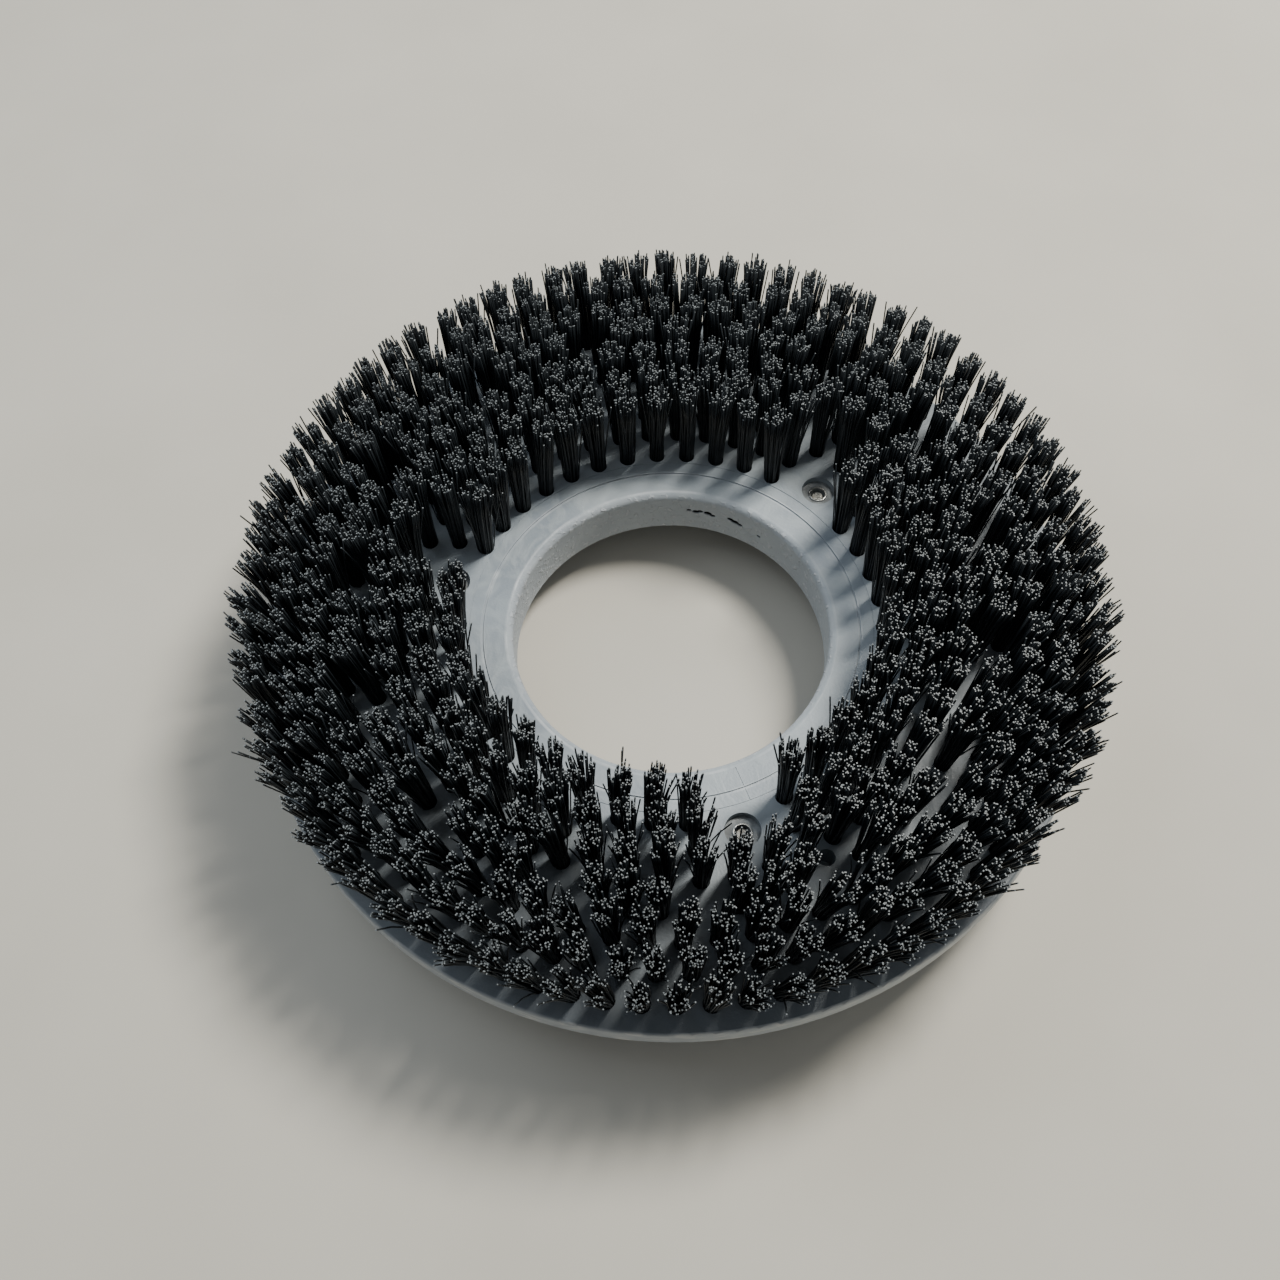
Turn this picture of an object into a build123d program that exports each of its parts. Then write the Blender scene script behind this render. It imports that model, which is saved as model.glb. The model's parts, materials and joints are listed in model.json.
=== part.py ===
from build123d import *
import os
from math import asin, cos, degrees, radians, sin

# Rotary disc scrub brush for a floor machine.
# It stands on its three drive lugs with the bristles up.
# Z = 0 is the plane of the lug tips, and Z is the axis that the brush turns about.

os.makedirs("parts", exist_ok=True)

# Moulded block
block_diameter = 345.0
block_thickness = 24.0
bore_diameter = 134.0
rim_height = 8.5  # upright band of the rim, above the bevel of the back
bevel_width = 15.5  # how far the bevel of the back runs in from the rim
bore_edge_radius = 3.0  # rounding at the bristle side of the bore
rim_edge_radius = 1.2
back_edge_chamfer = 1.5  # at the back of the bore

# Fine marks that the mould leaves on the bristle side
groove_land = 12.8  # from the bore's wall to the middle of the groove
groove_width = 0.9
groove_depth = 0.6
witness_width = 0.5
witness_depth = 0.25
witness_gap = 0.5  # between the outer witness line and the first holes
witness_turn = 4.5  # degrees from the second lug to the short radial line

# Pin marks that the mould leaves on the back
pin_mark_diameter = 12.0
pin_mark_depth = 0.5
pin_mark_count = 9
pin_mark_land = 14.0  # from the foot of the bevel to the middle of a mark

# Bristles
trim_length = 43.0  # from the bristle side of the block to the cut ends
row_count = 7
inner_land = 23.0  # from the bore's wall to the first row of holes
rim_land = 11.2  # from the rim to the last row of holes
lean_step = 1.9  # degrees that each row leans out more than the row inside it
hole_diameter = 7.0
hole_depth = 13.0
hole_clearance = 0.05  # all round a bundle, and all round a fastener in its seat
tip_diameter = 9.6  # across a bundle at its cut ends, where it spreads

# Flat wire anchors that hold the folded bundles
anchor_bite = 0.6  # how far each end cuts into the wall of the hole
anchor_thickness = 0.5
anchor_height = 2.2
anchor_lift = 1.4  # the fold of the filaments under the anchor

# Lug fastenings
lug_count = 3
lug_circle = 193.0
first_lug_angle = 45.0
lug_space = 20.0  # from the middle of a lug to the nearest bundles of the first two rows
recess_diameter = 14.6
recess_depth = 4.2
flange_thickness = 1.2
barrel_diameter = 8.0
barrel_length = 12.0
lip_height = 0.6  # rolled lip round the mouth of the tee nut
mouth_diameter = 6.6
thread_diameter = 6.0
shank_end_drop = 2.0  # from the rolled lip down to the end of the shank
shank_end_chamfer = 0.75
passage_diameter = 6.6

# Spring washers
washer_outer = 11.8
washer_thickness = 1.6
washer_slit = 1.2

# Drive lugs
head_diameter = 17.0
head_height = 5.0
head_chamfer = 1.2
neck_diameter = 12.0
neck_height = 4.4
collar_flats = 19.0
collar_height = 5.0

# Levels and radii that follow from the sizes above
lug_height = head_height + neck_height + collar_height
back_face = lug_height + washer_thickness
bristle_face = back_face + block_thickness
tip_plane = bristle_face + trim_length
recess_floor = bristle_face - recess_depth
flange_top = recess_floor + flange_thickness
shank_end = flange_top + lip_height - shank_end_drop
rim_radius = block_diameter / 2
bore_radius = bore_diameter / 2
bevel_foot = rim_radius - bevel_width
first_row_radius = bore_radius + inner_land
last_row_radius = rim_radius - rim_land
row_pitch = (last_row_radius - first_row_radius) / (row_count - 1)
row_radii = [first_row_radius + row_pitch * row for row in range(row_count)]
lug_radius = lug_circle / 2
lug_step = 360 / lug_count
lug_angles = [first_lug_angle + lug_step * lug for lug in range(lug_count)]
bundle_radius = hole_diameter / 2 - hole_clearance
slack = 0.01  # how far a cutter passes a face that it opens


def full_ring(count, turn):
    """Angles of bundles evenly round the whole block, the first one turn past a lug."""
    return [first_lug_angle + turn + 360 / count * place for place in range(count)]


def between_lugs(count, radius):
    """Angles of bundles in arcs that leave each lug's fastening free."""
    gap = degrees(asin(lug_space / radius))
    step = (lug_step - 2 * gap) / (count - 1)
    return [angle + gap + step * place for angle in lug_angles for place in range(count)]


def in_threes(groups, radius, pitch):
    """Angles of bundles in groups of three, with a bare stretch after each group."""
    middles = [first_lug_angle + 360 / groups * group for group in range(groups)]
    return [middle + degrees(pitch / radius) * place for middle in middles for place in (-1, 0, 1)]


# How the bundles stand in each row, from the bore outwards
row_angles = [
    between_lugs(12, row_radii[0]),
    between_lugs(14, row_radii[1]),
    full_ring(52, 0.5),
    in_threes(15, row_radii[3], 11.5),
    full_ring(64, 0.0),
    full_ring(72, 1.0),
    full_ring(78, 2.3),
]

# One hole between the third and fourth rows has no bundle, halfway between two of the third row
empty_hole_place = 36  # the bundle of the third row just before it
empty_hole_radius = (row_radii[2] + row_radii[3]) / 2
empty_hole_angle = sum(row_angles[2][empty_hole_place : empty_hole_place + 2]) / 2

# Voids of the foamed plastic that the bore opens: angle, depth under the bristle side, half height
void_stretch = 1.5  # along the wall
void_reach = 2.6  # from inside the bore to the bottom of a void
foam_voids = [
    (81.0, 9.6, 0.8),
    (78.3, 10.2, 1.1),
    (76.6, 9.5, 0.9),
    (73.6, 9.9, 1.2),
    (71.7, 10.9, 0.9),
    (64.4, 9.7, 1.1),
    (62.5, 10.4, 1.3),
    (60.6, 11.1, 1.0),
    (52.0, 12.5, 0.7),
]


def hole_mouth(row):
    """The plane of one hole's mouth on the +X side, tipped outwards by the lean of its row."""
    lean = radians(lean_step * row)
    return Plane(
        origin=(row_radii[row], 0, bristle_face), x_dir=(0, 1, 0), z_dir=(sin(lean), 0, cos(lean))
    )


def round_profile(mouth, points):
    """A closed outline of (radius, height) points, in a plane through the axis of a hole."""
    with BuildSketch(Plane(origin=mouth.origin, x_dir=mouth.y_dir, z_dir=mouth.x_dir)) as outline:
        Polygon(*points, align=None)
    return outline.sketch


bristle_rows, anchor_rows, hole_cutters, row_turns = [], [], [], []
for row, angles in enumerate(row_angles):
    mouth = hole_mouth(row)
    middle = Axis(mouth.origin, mouth.z_dir)
    anchor_seat = mouth.offset(anchor_lift - hole_depth)
    anchor_length = hole_diameter + 2 * anchor_bite
    overrun = trim_length / cos(radians(lean_step * row)) + tip_diameter
    spread = (tip_diameter / 2 - bundle_radius) / trim_length
    turns = [Location((0, 0, 0), (0, 0, angle)) for angle in angles]
    row_turns.append(turns)

    # Anchor: a cut length of flat wire, across the hole and just over its bottom
    with BuildPart() as anchor:
        with BuildSketch(anchor_seat):
            Rectangle(anchor_length, anchor_thickness)
        extrude(amount=anchor_height)

    # Bundle: filaments folded over the anchor, straight in the hole and spreading above it
    bundle_points = [
        (0, -hole_depth),
        (bundle_radius, -hole_depth),
        (bundle_radius, 0),
        (bundle_radius + spread * overrun, overrun),
        (0, overrun),
    ]
    with BuildPart() as bundle:
        add(round_profile(mouth, bundle_points))
        revolve(axis=middle)
        split(bisect_by=Plane.XY.offset(tip_plane), keep=Keep.BOTTOM)
        add(anchor.part, mode=Mode.SUBTRACT)

    # Hole: what the drill and the anchor take out of the block
    hole_points = [
        (0, -hole_depth),
        (hole_diameter / 2, -hole_depth),
        (hole_diameter / 2, hole_diameter),
        (0, hole_diameter),
    ]
    with BuildPart() as hole_cutter:
        add(round_profile(mouth, hole_points))
        revolve(axis=middle)
        add(anchor.part)
    hole_cutters.append(hole_cutter.part)

    with BuildPart() as bristle_row:
        with Locations(*turns):
            add(bundle.part)
    bristle_rows.append(bristle_row.part)

    with BuildPart() as anchor_row:
        with Locations(*turns):
            add(anchor.part)
    anchor_rows.append(anchor_row.part)

# Block: foamed plastic, moulded in one piece
with BuildPart() as block:
    with BuildSketch(Plane.XZ):
        Polygon(
            (bore_radius, back_face),
            (bevel_foot, back_face),
            (rim_radius, bristle_face - rim_height),
            (rim_radius, bristle_face),
            (bore_radius, bristle_face),
            align=None,
        )
    revolve(axis=Axis.Z)
    inner_rings = block.edges().filter_by(GeomType.CIRCLE).filter_by(
        lambda edge: edge.radius < bore_radius + slack
    )
    outer_rings = block.edges().filter_by(GeomType.CIRCLE).filter_by(
        lambda edge: edge.radius > rim_radius - slack
    )
    fillet(inner_rings.sort_by(Axis.Z)[-1], bore_edge_radius)
    chamfer(inner_rings.sort_by(Axis.Z)[0], back_edge_chamfer)
    fillet(outer_rings.sort_by(Axis.Z)[-1], rim_edge_radius)

    # Seats and passages of the lug fastenings
    with BuildSketch(Plane.XY.offset(recess_floor)):
        with PolarLocations(lug_radius, lug_count, start_angle=first_lug_angle):
            Circle(recess_diameter / 2)
    extrude(amount=recess_depth, mode=Mode.SUBTRACT)
    with BuildSketch(Plane.XY.offset(recess_floor)):
        with PolarLocations(lug_radius, lug_count, start_angle=first_lug_angle):
            Circle(barrel_diameter / 2 + hole_clearance)
    extrude(amount=-barrel_length - hole_clearance, mode=Mode.SUBTRACT)
    with BuildSketch(Plane.XY.offset(back_face)):
        with PolarLocations(lug_radius, lug_count, start_angle=first_lug_angle):
            Circle(passage_diameter / 2)
    extrude(amount=block_thickness - recess_depth, mode=Mode.SUBTRACT)

    # Marks of the mould
    with BuildSketch(Plane.XY.offset(bristle_face)):
        Circle(bore_radius + groove_land + groove_width / 2)
        Circle(bore_radius + groove_land - groove_width / 2, mode=Mode.SUBTRACT)
    extrude(amount=-groove_depth, mode=Mode.SUBTRACT)
    witness_radius = first_row_radius - hole_diameter / 2 - witness_gap
    with BuildSketch(Plane.XY.offset(bristle_face)):
        Circle(witness_radius)
        Circle(witness_radius - witness_width, mode=Mode.SUBTRACT)
    extrude(amount=-witness_depth, mode=Mode.SUBTRACT)
    line_start = bore_radius + bore_edge_radius + witness_gap
    line_length = witness_radius - witness_width / 2 - line_start
    with BuildSketch(Plane.XY.offset(bristle_face).rotated((0, 0, lug_angles[-1] + witness_turn))):
        with Locations((line_start + line_length / 2, 0)):
            Rectangle(line_length, witness_width)
    extrude(amount=-witness_depth, mode=Mode.SUBTRACT)
    with BuildSketch(Plane.XY.offset(back_face)):
        with PolarLocations(bevel_foot - pin_mark_land, pin_mark_count):
            Circle(pin_mark_diameter / 2)
    extrude(amount=pin_mark_depth, mode=Mode.SUBTRACT)

    # Voids that the bore opens
    for angle, drop, size in foam_voids:
        outwards = Vector(1, 0, 0).rotate(Axis.Z, angle)
        start = outwards * (bore_radius - size) + Vector(0, 0, bristle_face - drop)
        with BuildSketch(Plane(origin=start, x_dir=Vector(0, 0, 1).cross(outwards), z_dir=outwards)):
            Ellipse(size * void_stretch, size)
        extrude(amount=size * void_reach, mode=Mode.SUBTRACT)

    # Holes of the bundles, and the one that was left empty
    with BuildSketch(Plane.XY.offset(bristle_face)):
        with PolarLocations(empty_hole_radius, 1, start_angle=empty_hole_angle):
            Circle(hole_diameter / 2)
    extrude(amount=-hole_depth, mode=Mode.SUBTRACT)
    for hole_cutter, turns in zip(hole_cutters, row_turns):
        with Locations(*turns):
            add(hole_cutter, mode=Mode.SUBTRACT)

block.part.label = "block"
export_step(block.part, "parts/block.step")

for number, (bristle_row, anchor_row) in enumerate(zip(bristle_rows, anchor_rows), start=1):
    bristle_row.label = f"bristle_row_{number}"
    export_step(bristle_row, f"parts/{bristle_row.label}.step")
    anchor_row.label = f"anchor_row_{number}"
    export_step(anchor_row, f"parts/{anchor_row.label}.step")

for number, angle in enumerate(lug_angles, start=1):
    foot = Plane.XY.rotated((0, 0, angle)).shift_origin(
        Vector(lug_radius, 0, 0).rotate(Axis.Z, angle)
    )

    # Tee nut: pressed in from the bristle side, with a rolled lip round its mouth
    with BuildPart() as tee_nut:
        with BuildSketch(foot.offset(recess_floor)):
            Circle(recess_diameter / 2 - hole_clearance)
        extrude(amount=flange_thickness)
        with BuildSketch(foot.offset(recess_floor - barrel_length)):
            Circle(barrel_diameter / 2)
        extrude(amount=barrel_length + flange_thickness + lip_height)
        lip = tee_nut.faces().sort_by(Axis.Z)[-1].edges()
        fillet(lip, lip_height / 2)
        with BuildSketch(foot.offset(recess_floor - barrel_length)):
            Circle(thread_diameter / 2 + hole_clearance)
        extrude(amount=barrel_length + flange_thickness + lip_height, mode=Mode.SUBTRACT)
        with BuildSketch(foot.offset(shank_end - shank_end_chamfer)):
            Circle(mouth_diameter / 2)
        extrude(amount=shank_end_drop + shank_end_chamfer, mode=Mode.SUBTRACT)
    tee_nut.part.label = f"tee_nut_{number}"
    export_step(tee_nut.part, f"parts/{tee_nut.part.label}.step")

    # Spring washer: between the lug's collar and the back of the block
    with BuildPart() as spring_washer:
        with BuildSketch(foot.offset(lug_height)):
            Circle(washer_outer / 2)
            Circle(thread_diameter / 2 + hole_clearance, mode=Mode.SUBTRACT)
            with Locations((washer_outer / 2, 0)):
                Rectangle(washer_outer, washer_slit, mode=Mode.SUBTRACT)
        extrude(amount=washer_thickness)
    spring_washer.part.label = f"spring_washer_{number}"
    export_step(spring_washer.part, f"parts/{spring_washer.part.label}.step")

    # Drive lug: turned head and neck, a collar with six flats, and the threaded shank
    with BuildPart() as drive_lug:
        with BuildSketch(foot):
            Circle(head_diameter / 2)
        extrude(amount=head_height)
        chamfer(drive_lug.faces().sort_by(Axis.Z)[0].edges(), head_chamfer)
        with BuildSketch(foot.offset(head_height)):
            Circle(neck_diameter / 2)
        extrude(amount=neck_height)
        with BuildSketch(foot.offset(head_height + neck_height)):
            RegularPolygon(collar_flats / 2, 6, major_radius=False)
        extrude(amount=collar_height)
        with BuildSketch(foot.offset(lug_height)):
            Circle(thread_diameter / 2)
        extrude(amount=shank_end - lug_height)
        chamfer(drive_lug.faces().sort_by(Axis.Z)[-1].edges(), shank_end_chamfer)
    drive_lug.part.label = f"drive_lug_{number}"
    export_step(drive_lug.part, f"parts/{drive_lug.part.label}.step")
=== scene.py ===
import json
import math

import bmesh
import bpy
import numpy as np
from mathutils import Matrix, Vector


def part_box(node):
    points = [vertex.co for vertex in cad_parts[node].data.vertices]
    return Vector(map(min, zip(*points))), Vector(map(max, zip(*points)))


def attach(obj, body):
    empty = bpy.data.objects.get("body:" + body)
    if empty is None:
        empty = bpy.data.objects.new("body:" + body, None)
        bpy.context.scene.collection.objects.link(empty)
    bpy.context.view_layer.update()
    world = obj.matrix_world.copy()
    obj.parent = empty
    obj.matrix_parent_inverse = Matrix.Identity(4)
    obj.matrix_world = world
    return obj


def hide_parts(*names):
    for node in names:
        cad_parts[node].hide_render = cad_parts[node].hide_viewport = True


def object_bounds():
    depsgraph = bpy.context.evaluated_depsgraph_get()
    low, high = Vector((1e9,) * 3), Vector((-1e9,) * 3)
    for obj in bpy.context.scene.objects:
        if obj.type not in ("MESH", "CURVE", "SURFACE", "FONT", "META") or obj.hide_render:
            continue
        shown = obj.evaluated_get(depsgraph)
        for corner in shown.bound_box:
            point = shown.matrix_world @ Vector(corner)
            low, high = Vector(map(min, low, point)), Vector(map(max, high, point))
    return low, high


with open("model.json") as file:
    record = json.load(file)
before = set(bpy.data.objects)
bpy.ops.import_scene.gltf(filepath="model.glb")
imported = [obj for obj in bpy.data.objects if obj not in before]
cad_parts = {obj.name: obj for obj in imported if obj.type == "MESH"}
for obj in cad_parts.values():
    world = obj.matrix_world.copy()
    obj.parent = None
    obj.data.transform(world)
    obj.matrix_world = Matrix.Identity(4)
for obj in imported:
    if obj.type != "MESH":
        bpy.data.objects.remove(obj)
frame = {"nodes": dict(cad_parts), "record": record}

# Camera: a hand-held view from the near side, looking down at the brush as it lies bristles up.
# It is placed from the block, whose bristle side and rim give it its plane and its scale.
cad_low, cad_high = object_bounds()
MM = 0.001
block_low, block_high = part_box("block")
rim_radius = (block_high.x - block_low.x) / 2
bristle_face = block_high.z

view_lift = math.radians(60.05)
view_roll = math.radians(-1.48)
view_distance = 3.416 * rim_radius
view_centre = Vector((-0.0766 * rim_radius, -0.0381 * rim_radius, bristle_face))
view_back = Vector((0, -math.cos(view_lift), math.sin(view_lift)))
view_up = Vector((0, math.sin(view_lift), math.cos(view_lift)))
view_right = Vector((1, 0, 0))
camera_right = view_right * math.cos(view_roll) + view_up * math.sin(view_roll)
camera_up = view_up * math.cos(view_roll) - view_right * math.sin(view_roll)

camera = bpy.data.objects.new("camera", bpy.data.cameras.new("camera"))
camera.data.sensor_width = 36
camera.data.lens = 39.375
camera.matrix_world = Matrix.Translation(view_centre + view_back * view_distance) @ Matrix(
    (camera_right, camera_up, view_back)
).transposed().to_4x4()
bpy.context.scene.collection.objects.link(camera)
bpy.context.scene.camera = camera


# Floor and light: a plain pale floor under the lug tips, one broad lamp high at the far right and
# a weaker one at the left, in a dim grey room.
class Flow:
    """A number inside a finish, as a node's output. Sums on it add Math nodes."""

    def __init__(self, finish, socket):
        self.finish = finish
        self.socket = socket

    def sum(self, operation, first, second):
        return self.finish.node("ShaderNodeMath", {"operation": operation}, {0: first, 1: second})

    def __add__(self, other):
        return self.sum("ADD", self, other)

    def __radd__(self, other):
        return self.sum("ADD", other, self)

    def __sub__(self, other):
        return self.sum("SUBTRACT", self, other)

    def __rsub__(self, other):
        return self.sum("SUBTRACT", other, self)

    def __mul__(self, other):
        return self.sum("MULTIPLY", self, other)

    def __rmul__(self, other):
        return self.sum("MULTIPLY", other, self)


class Finish:
    """A material with one Principled shader, whose nodes are asked for by type."""

    def __init__(self, name, colour, roughness, metallic=0.0):
        self.material = bpy.data.materials.new(name)
        self.material.use_nodes = True
        self.tree = self.material.node_tree
        self.shader = self.tree.nodes["Principled BSDF"]
        self.set("Base Color", (*colour, 1))
        self.set("Roughness", roughness)
        self.set("Metallic", metallic)

    def set(self, name, value):
        if isinstance(value, Flow):
            self.tree.links.new(value.socket, self.shader.inputs[name])
        else:
            self.shader.inputs[name].default_value = value

    def node(self, kind, settings, sockets, output=0):
        made = self.tree.nodes.new(kind)
        for name, value in settings.items():
            setattr(made, name, value)
        for name, value in sockets.items():
            if isinstance(value, Flow):
                self.tree.links.new(value.socket, made.inputs[name])
            else:
                made.inputs[name].default_value = value
        return Flow(self, made.outputs[output])

    def place(self):
        return self.node("ShaderNodeTexCoord", {}, {}, "Object")

    def height(self):
        return self.node("ShaderNodeSeparateXYZ", {}, {"Vector": self.place()}, "Z")

    def vector(self, operation, first, second, output=0):
        return self.node("ShaderNodeVectorMath", {"operation": operation}, {0: first, 1: second}, output)

    def noise(self, scale, detail, stretch=(1, 1, 1), warp=0.0):
        where = self.vector("MULTIPLY", self.place(), stretch)
        sockets = {"Vector": where, "Scale": scale, "Detail": detail, "Distortion": warp}
        return self.node("ShaderNodeTexNoise", {}, sockets, "Fac")

    def between(self, value, low, high, to_low=0.0, to_high=1.0):
        """value's stretch from low to high, eased onto another range."""
        sockets = {"Value": value, "From Min": low, "From Max": high, "To Min": to_low, "To Max": to_high}
        return self.node("ShaderNodeMapRange", {"interpolation_type": "SMOOTHSTEP"}, sockets)

    def mix(self, share, first, second):
        """The first colour, with a share of the second."""

        def colour(value):
            return value if isinstance(value, Flow) else (*value, 1)

        sockets = {"Factor": share, 6: colour(first), 7: colour(second)}
        return self.node("ShaderNodeMix", {"data_type": "RGBA"}, sockets, 2)

    def bump(self, height, depth):
        """Raises the surface by height, a value from 0 to 1, times depth in metres."""
        sockets = {"Height": height, "Distance": depth, "Strength": 1.0}
        self.set("Normal", self.node("ShaderNodeBump", {}, sockets))


def give(piece, *finishes):
    """Puts these finishes in the piece's slots. Clearing slots also makes every face use the first."""
    if piece.data.materials:
        piece.data.materials.clear()
    for finish in finishes:
        piece.data.materials.append(finish.material)


floor_half = 3.0
floor_finish = Finish("pale_floor", (0.55, 0.53, 0.47), 0.8)
floor_tone = floor_finish.noise(9, 5)
floor_finish.set("Base Color", floor_finish.mix(floor_tone, (0.50, 0.475, 0.415), (0.61, 0.58, 0.515)))
floor_mesh = bpy.data.meshes.new("floor")
floor_corners = [(x * floor_half, y * floor_half, 0) for x, y in ((-1, -1), (1, -1), (1, 1), (-1, 1))]
floor_mesh.from_pydata(floor_corners, [], [(0, 1, 2, 3)])
floor = bpy.data.objects.new("floor", floor_mesh)
bpy.context.scene.collection.objects.link(floor)
give(floor, floor_finish)


def lamp(name, place, size, power, colour):
    """A round lamp that looks at the middle of the view."""
    light = bpy.data.lights.new(name, "AREA")
    light.shape = "DISK"
    light.size = size
    light.energy = power
    light.color = colour
    holder = bpy.data.objects.new(name, light)
    holder.location = place
    holder.rotation_euler = (view_centre - Vector(place)).to_track_quat("-Z", "Y").to_euler()
    bpy.context.scene.collection.objects.link(holder)


lamp("key_lamp", (1.0, 0.75, 2.05), 0.7, 80, (1.0, 0.975, 0.90))
lamp("fill_lamp", (-1.1, 0.6, 1.5), 1.6, 12, (0.80, 0.90, 1.0))
world = bpy.data.worlds.new("room")
bpy.context.scene.world = world
world.use_nodes = True
world.node_tree.nodes["Background"].inputs["Color"].default_value = (0.92, 0.96, 1.0, 1)
world.node_tree.nodes["Background"].inputs["Strength"].default_value = 0.27


# Block: one ring of grey foamed polypropylene, moulded and then drilled. Its skin is smooth with cloudy
# swirls and darkened between the bundles by grime and painted shade; the bore's wall is speckled foam
# and the rim is scuffed. The groove and the bore's mouth carry painted highlights, and the opened voids
# are filled with painted shade.
bore_radius = frame["record"]["mounts"][0]["dims"]["r_mm"] * MM
void_low = bristle_face - 14 * MM  # all the opened voids lie between these two levels
void_high = bristle_face - 7 * MM
void_reach = bore_radius + 4 * MM
groove_radius = bore_radius + 12.8 * MM
mouth_radius = bore_radius + 2.9 * MM  # where the rounding of the bore's mouth meets the face
rim_edge_radius = rim_radius - 1.4 * MM  # where the rounding of the rim meets the face
# the tufted face darkens outwards between these two radii, with grime and painted shade of the bundles
grime_and_shade_start = bore_radius + 18 * MM
grime_and_shade_full = bore_radius + 62 * MM

plastic = Finish("block_plastic", (0.3, 0.33, 0.36), 0.5)
flattened = plastic.vector("MULTIPLY", plastic.place(), (1, 1, 0))
from_axis = plastic.vector("LENGTH", flattened, (0, 0, 0), "Value")
height = plastic.height()


def beyond(value, start, end):
    """0 up to start and 1 from end on."""
    return plastic.between(value, start, end)


def within(value, start, end):
    """1 up to start and 0 from end on."""
    return plastic.between(value, start, end, 1.0, 0.0)


def ring(middle, half_width, fade=0.5 * MM):
    """A ring of the skin about the block's axis, 1 in it and 0 on both sides."""
    inner = beyond(from_axis, middle - half_width - fade, middle - half_width)
    outer = within(from_axis, middle + half_width, middle + half_width + fade)
    return inner * outer


cloud = plastic.noise(16, 4, warp=0.8)
swirl = plastic.between(plastic.noise(55, 5, warp=2.5), 0.35, 0.7)
grain = plastic.noise(900, 2)
speck = plastic.between(plastic.noise(420, 3), 0.52, 0.68)
scuff = plastic.between(plastic.noise(70, 6, (1, 1, 4), 1.2), 0.5, 0.66)
highlight_patchiness = plastic.between(plastic.noise(38, 4, warp=0.6), 0.42, 0.62)

on_wall = within(from_axis, bore_radius + 0.4 * MM, mouth_radius - 0.3 * MM)
on_rim = beyond(from_axis, rim_edge_radius, rim_radius - 0.3 * MM)
on_face = beyond(height, bristle_face - 1.2 * MM, bristle_face - 0.2 * MM)
grime_and_painted_shade = on_face * beyond(from_axis, grime_and_shade_start, grime_and_shade_full)
# painted highlights: pale lines along the groove and the rounding of the bore's mouth
painted_edge_highlights = ring(groove_radius, 0.7 * MM) + ring(mouth_radius, 0.3 * MM)
void_levels = within(height, void_high, void_high + MM) * beyond(height, void_low - MM, void_low)
past_wall = beyond(from_axis, bore_radius + 0.2 * MM, bore_radius + 0.7 * MM)
# painted shade: the opened voids behind the bore's wall
painted_void_shade = void_levels * past_wall * within(from_axis, void_reach, void_reach + MM)

skin = plastic.mix(plastic.between(cloud, 0.3, 0.7), (0.23, 0.27, 0.315), (0.34, 0.385, 0.42))
skin = plastic.mix(swirl * 0.35, skin, (0.44, 0.49, 0.505))
# grime and painted shade between the bundles, darker outwards
skin = plastic.mix(grime_and_painted_shade * (0.5 + cloud * 0.3), skin, (0.085, 0.10, 0.115))
skin = plastic.mix(grain * 0.12, skin, (0.15, 0.17, 0.19))
skin = plastic.mix(on_wall * (0.3 + speck * 0.4), skin, (0.54, 0.56, 0.59))
skin = plastic.mix(on_rim * (0.3 + scuff * 0.5), skin, (0.55, 0.55, 0.53))
# painted highlights on the groove and the bore's mouth
skin = plastic.mix(painted_edge_highlights * (0.12 + highlight_patchiness * 0.4), skin, (0.60, 0.63, 0.66))
# the opened voids are coloured near black as painted shade
skin = plastic.mix(painted_void_shade, skin, (0.012, 0.011, 0.010))
plastic.set("Base Color", skin)
plastic.set("Roughness", 0.42 + swirl * 0.12 + on_wall * 0.25)
plastic.bump(grain * 0.25 + swirl * 0.25 + on_wall * speck, 0.35 * MM)
give(frame["nodes"]["block"], plastic)


# Bristles: black polypropylene filaments, folded in half and stapled into each hole. They stand
# straight in the hole, spread and clump towards the cut ends, and some have been bent aside by use.
row_numbers = range(1, 8)
filament_count = 69  # cut ends in each bundle
filament_radius = 0.32 * MM
filament_sides = 5
levels = np.array([0.0, 0.36, 0.7, 1.0])  # of a filament's rings, from its foot to its cut end
filament_sizes = (0.9, 1.08)  # the thinnest and the thickest, in filament radii
hole_radius = 3.5 * MM
sunk = 3 * MM  # how far below the hole's mouth a filament's foot is
golden_turn = math.pi * (3 - math.sqrt(5))
packing_error = 0.12 * MM
tip_spread = 1.78  # how many times wider a bundle is at its cut ends than in its hole
tip_spread_error = 0.14
tip_shape = np.array([0.96, 1.1])  # of that spread, along the row and outwards
tip_error = 0.75 * MM
clump_count = 6  # in each bundle
clump_pull = 0.34  # how much of the way to its clump a filament leans
bundle_push = 1.0 * MM  # how far use has bent a whole bundle over
stray_share = 0.18
stray_push = 2.5 * MM
bow_depth = 0.3 * MM
trim_shortfall = 0.1 * MM  # below the CAD's level tips
trim_error = 0.75 * MM
uneven_share = 0.05
uneven_trim = (-3 * MM, 2.2 * MM)
draws = np.random.default_rng(11)

filament_finish = Finish("bristle_filament", (0.007, 0.009, 0.011), 0.36)
tone = filament_finish.noise(160, 2)
filament_finish.set("Base Color", filament_finish.mix(tone, (0.006, 0.008, 0.010), (0.018, 0.023, 0.027)))
filament_finish.set("Roughness", 0.34 + tone * 0.2)
filament_finish.set("Specular IOR Level", 0.32)
cut_finish = Finish("bristle_cut_end", (0.2, 0.21, 0.215), 0.5)
cut_tone = cut_finish.between(cut_finish.noise(700, 1), 0.3, 0.65)
cut_finish.set("Base Color", cut_finish.mix(cut_tone, (0.05, 0.058, 0.062), (0.22, 0.24, 0.25)))


def loose_parts(mesh):
    """The corners of each part of a mesh that hangs together."""
    seen = set()
    for start in mesh.verts:
        if start in seen:
            continue
        seen.add(start)
        part = [start]
        for vert in part:
            for edge in vert.link_edges:
                other = edge.other_vert(vert)
                if other not in seen:
                    seen.add(other)
                    part.append(other)
        yield np.array([vert.co for vert in part])


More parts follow.
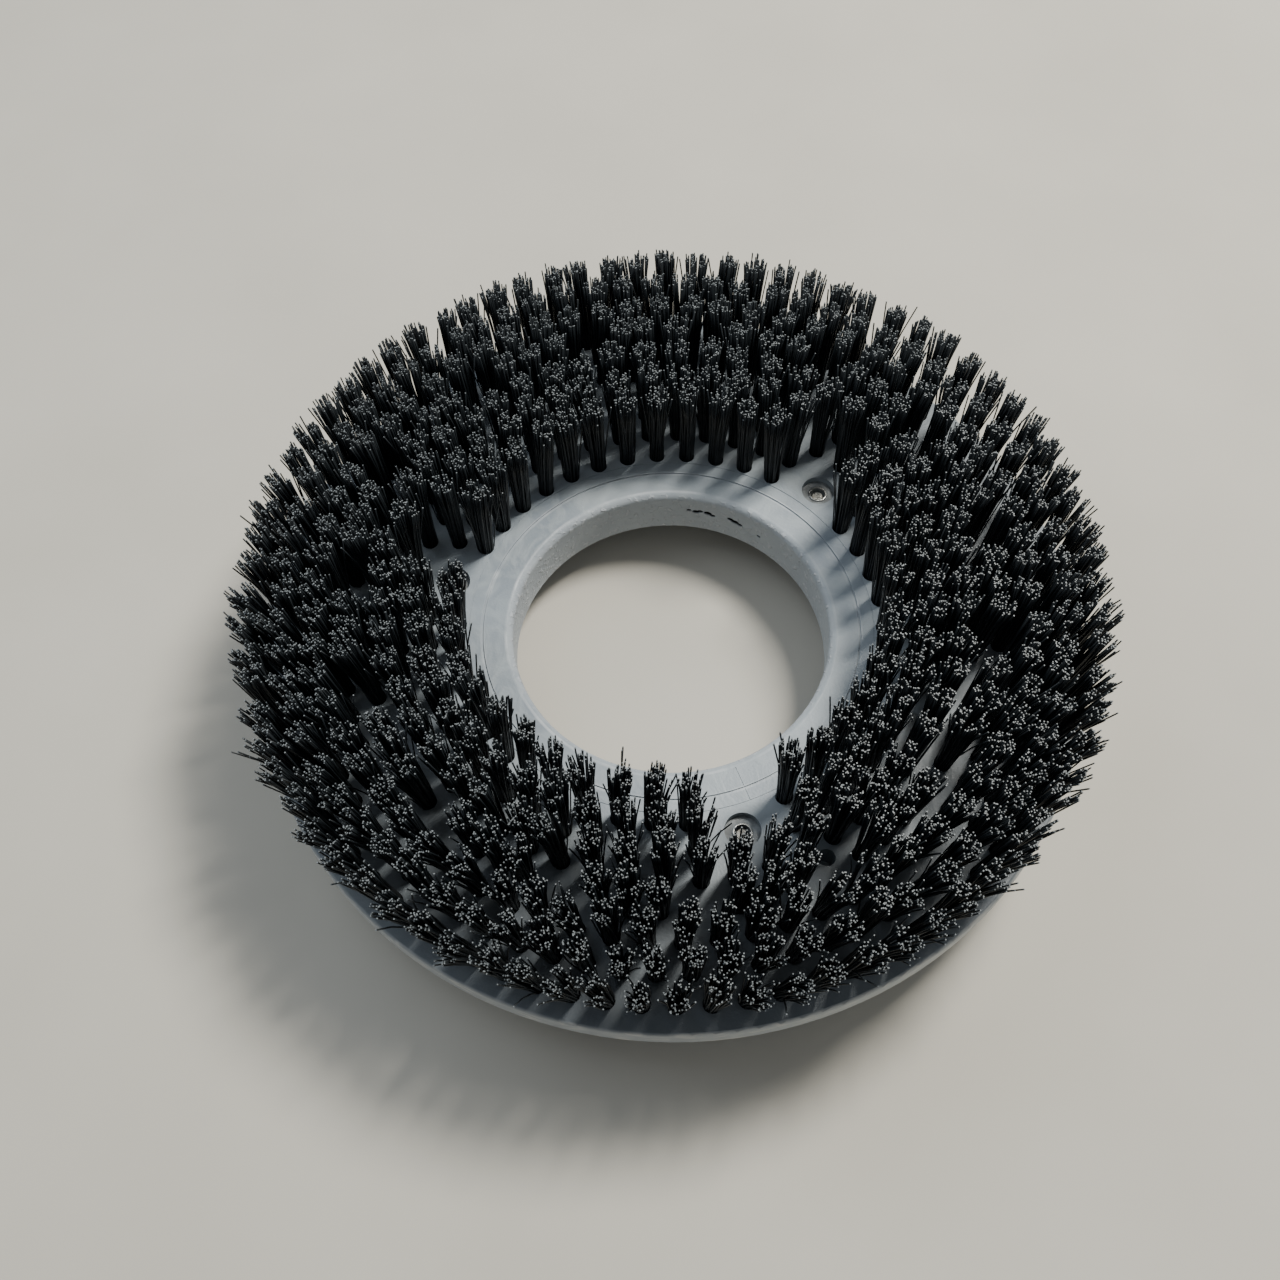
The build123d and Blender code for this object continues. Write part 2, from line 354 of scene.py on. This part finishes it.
def bundles(node):
    """(mouth, direction) of each bundle of a CAD row: where its middle line leaves the block."""
    weld = 0.001 * MM
    top_band = 0.1 * MM  # corners this near the highest one belong to the level end
    foot_band = 0.4 * MM
    mesh = bmesh.new()
    mesh.from_mesh(frame["nodes"][node].data)
    bmesh.ops.remove_doubles(mesh, verts=mesh.verts, dist=weld)
    found = []
    for corners in loose_parts(mesh):
        top = corners[corners[:, 2] > corners[:, 2].max() - top_band].mean(0)
        way = top - corners.mean(0)
        way /= np.linalg.norm(way)
        along = (corners - top) @ way
        foot = corners[along < along.min() + foot_band].mean(0)
        way = (top - foot) / np.linalg.norm(top - foot)
        mouth = foot + way * (bristle_face - foot[2]) / way[2]
        found.append((mouth, way))
    mesh.free()
    return sorted(found, key=lambda pair: math.atan2(pair[0][1], pair[0][0]))


def roots():
    """Where a bundle's filaments stand across their hole: evenly packed, with a little disorder."""
    share = np.sqrt((np.arange(filament_count) + 0.5) / filament_count)
    angle = np.arange(filament_count) * golden_turn + draws.uniform(0, 2 * math.pi)
    root = np.stack([np.cos(angle), np.sin(angle)], 1) * share[:, None] * (hole_radius - filament_radius)
    return root + draws.normal(0, packing_error, root.shape)


def tips(root):
    """Where they end, across the bundle: spread, drawn into clumps, and the strays bent aside."""
    spread = draws.normal(tip_spread, tip_spread_error)
    tip = root * (spread * tip_shape) + draws.normal(0, tip_error, root.shape)
    clumps = tip[draws.choice(filament_count, clump_count, replace=False)]
    nearest = np.linalg.norm(tip[:, None] - clumps[None], axis=2).argmin(1)
    tip += (clumps[nearest] - tip) * clump_pull
    tip += draws.normal(0, bundle_push, 2)
    stray = draws.random(filament_count) < stray_share
    tip[stray] += draws.normal(0, stray_push, (int(stray.sum()), 2))
    return tip


def middle_lines(mouth, way, outwards):
    """The points of each filament's middle line, from its foot to its cut end."""
    across = np.cross(way, outwards)
    across /= np.linalg.norm(across)
    aside = np.cross(across, way)
    root = roots()
    tip = tips(root)
    bow = draws.normal(0, bow_depth, root.shape)
    reach = (cad_high.z - mouth[2]) / way[2] + draws.normal(-trim_shortfall, trim_error, filament_count)
    uneven = draws.random(filament_count) < uneven_share
    reach += np.where(uneven, draws.uniform(*uneven_trim, filament_count), 0)
    bend = 0.45 * levels + 0.55 * levels**2  # a lean from the foot, and more of it towards the tip
    offset = root[:, None] + (tip - root)[:, None] * bend[:, None]
    offset += bow[:, None] * np.sin(math.pi * levels)[:, None]
    rise = -sunk + (reach[:, None] + sunk) * levels
    return mouth + offset[..., :1] * across + offset[..., 1:] * aside + rise[..., None] * way


def tube_corners(middle, outwards):
    """A ring of corners round every point of the middle lines."""
    direction = np.gradient(middle, axis=1)
    direction /= np.linalg.norm(direction, axis=2, keepdims=True)
    ring_x = np.cross(direction, outwards)
    ring_x /= np.linalg.norm(ring_x, axis=2, keepdims=True)
    ring_y = np.cross(direction, ring_x)
    turn = np.arange(filament_sides)[:, None] * 2 * math.pi / filament_sides
    outward_ways = ring_x[:, :, None] * np.cos(turn) + ring_y[:, :, None] * np.sin(turn)
    radius = filament_radius * draws.uniform(*filament_sizes, filament_count)
    return middle[:, :, None] + outward_ways * radius[:, None, None, None]


def bristle_mesh(name, row):
    """All the filaments of a row as closed tubes, with their cut ends in a second slot."""
    corners = []
    for mouth, way in row:
        outwards = np.array([mouth[0], mouth[1], 0]) / math.hypot(mouth[0], mouth[1])
        corners.append(tube_corners(middle_lines(mouth, way, outwards), outwards))
    corners = np.concatenate(corners).reshape(-1, 3)
    place = np.arange(filament_sides)
    after = (place + 1) % filament_sides
    foot = np.arange(len(row) * filament_count)[:, None] * (len(levels) * filament_sides)
    cut_end = foot + (len(levels) - 1) * filament_sides
    sides = []
    for level in range(len(levels) - 1):
        low = foot + level * filament_sides
        high = low + filament_sides
        sides.append(np.stack([low + place, low + after, high + after, high + place], 2).reshape(-1, 4))
    sides = np.concatenate(sides)
    ends = np.concatenate([foot + place[::-1], cut_end + place])
    mesh = bpy.data.meshes.new(name)
    mesh.from_pydata(corners.tolist(), [], sides.tolist() + ends.tolist())
    is_side = np.arange(len(mesh.polygons)) < len(sides)
    mesh.polygons.foreach_set("use_smooth", is_side)
    mesh.polygons.foreach_set("material_index", np.where(is_side, 0, 1).astype(np.int32))
    mesh.update()
    return mesh


for number in row_numbers:
    node = f"bristle_row_{number}"
    name = f"bristles_{number}"
    piece = bpy.data.objects.new(name, bristle_mesh(name, bundles(node)))
    bpy.context.scene.collection.objects.link(piece)
    give(piece, filament_finish, cut_finish)
    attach(piece, "root")
    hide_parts(node)


# Anchors: short lengths of drawn steel wire, driven across the folds at the bottom of each hole.
# They can't be seen once the block is filled.
wire = Finish("anchor_wire", (0.55, 0.55, 0.56), 0.35, 1.0)
wire.set("Roughness", 0.28 + wire.noise(2500, 2, (1, 1, 0.1)) * 0.2)
for number in row_numbers:
    give(frame["nodes"][f"anchor_row_{number}"], wire)


# Lug fastenings: zinc-plated steel tee nuts pressed in from the bristle side, turned drive lugs
# screwed into them from the back, and a dark spring washer under each lug's collar. The flange of
# a tee nut is dulled by dust and detergent, and only its rolled lip is rubbed bright.
zinc = Finish("plated_steel", (0.5, 0.5, 0.47), 0.34, 1.0)
stain = zinc.between(zinc.noise(260, 5), 0.42, 0.7)
zinc.set("Base Color", zinc.mix(stain, (0.58, 0.58, 0.55), (0.33, 0.31, 0.27)))
zinc.set("Roughness", 0.26 + stain * 0.3)
zinc.bump(zinc.noise(1600, 2), 0.05 * MM)

spring = Finish("spring_steel", (0.2, 0.2, 0.21), 0.42, 1.0)
spring.set("Roughness", 0.34 + spring.noise(900, 3) * 0.25)

nut_finish = Finish("dulled_plated_steel", (0.3, 0.32, 0.33), 0.5, 0.5)
lip_height = 0.6 * MM
nut_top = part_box("tee_nut_1")[1].z
rubbed = nut_finish.between(nut_finish.height(), nut_top - lip_height, nut_top - lip_height / 2)
dust = nut_finish.between(nut_finish.noise(330, 5), 0.35, 0.7)
dull = nut_finish.mix(dust, (0.16, 0.17, 0.175), (0.30, 0.32, 0.33))
nut_finish.set("Base Color", nut_finish.mix(rubbed, dull, (0.60, 0.60, 0.58)))
nut_finish.set("Metallic", 0.35 + rubbed * 0.65)
nut_finish.set("Roughness", 0.5 - rubbed * 0.24 + dust * 0.1)
nut_finish.bump(dust, 0.06 * MM)

for number in range(1, 4):
    give(frame["nodes"][f"tee_nut_{number}"], nut_finish)
    give(frame["nodes"][f"drive_lug_{number}"], zinc)
    give(frame["nodes"][f"spring_washer_{number}"], spring)
